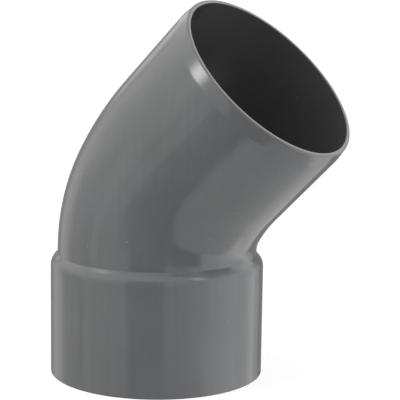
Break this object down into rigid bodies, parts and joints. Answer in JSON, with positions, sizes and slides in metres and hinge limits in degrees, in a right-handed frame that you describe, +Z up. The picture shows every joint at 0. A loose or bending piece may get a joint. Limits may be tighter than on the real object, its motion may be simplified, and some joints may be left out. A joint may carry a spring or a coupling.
{
  "type": "45 degree pvc drain elbow",
  "caption": "Grey PVC-U 45 degree pipe elbow with a plain solvent-cement socket at one end and a chamfered spigot at the other.",
  "frame": {"origin": "middle of the whole fitting's bounding box at its foot, in the plane of the socket's mouth; the socket's axis stands at x = -22.3 mm", "axes": "+Z up along the socket's axis, from its mouth towards the bend; the spigot leans 45 degrees towards +X; Y = 0 is the mirror plane"},
  "size_m": [0.1516, 0.107, 0.1876],
  "materials": {
    "pvc_grey": "glossy injection-moulded rigid PVC, mid grey, light scuffs"
  },
  "bodies": {
    "root": {"socket": "pvc_grey", "shoulder": "pvc_grey", "bend": "pvc_grey", "spigot": "pvc_grey"}
  },
  "joints": []
}
